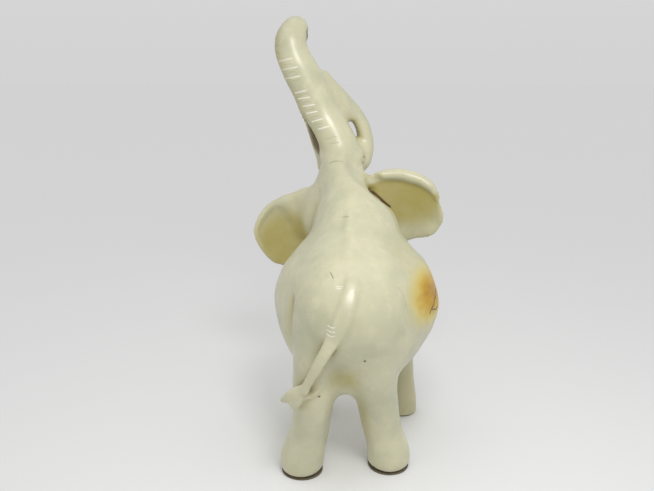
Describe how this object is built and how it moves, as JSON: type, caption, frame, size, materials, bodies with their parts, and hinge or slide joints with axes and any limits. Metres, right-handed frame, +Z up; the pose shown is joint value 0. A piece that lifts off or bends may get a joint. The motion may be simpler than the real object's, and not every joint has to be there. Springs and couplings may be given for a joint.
{
  "type": "elephant figurine",
  "caption": "Carved and polished stone elephant figurine, standing, with its trunk raised, tusks carved joined to the trunk, dished ears spread and felt pads under its feet.",
  "frame": {"origin": "on the ground, under the centre of the figure's bounding box", "axes": "+Z up; the elephant faces +Y, so +X is its own right side"},
  "size_m": [0.1186, 0.1404, 0.2544],
  "materials": {
    "soapstone": "hand polished and waxed, faintly translucent at the thin rims",
    "felt": "thin brown felt"
  },
  "bodies": {
    "root": {"torso": "soapstone", "head": "soapstone", "jaw": "soapstone", "trunk": "soapstone", "tusk_left": "soapstone", "ear_left": "soapstone", "hind_leg_left": "soapstone", "front_leg_left": "soapstone", "tusk_right": "soapstone", "ear_right": "soapstone", "hind_leg_right": "soapstone", "front_leg_right": "soapstone", "tail": "soapstone", "tail_tuft": "soapstone", "hind_pad_left": "felt", "front_pad_left": "felt", "hind_pad_right": "felt", "front_pad_right": "felt"}
  },
  "joints": []
}
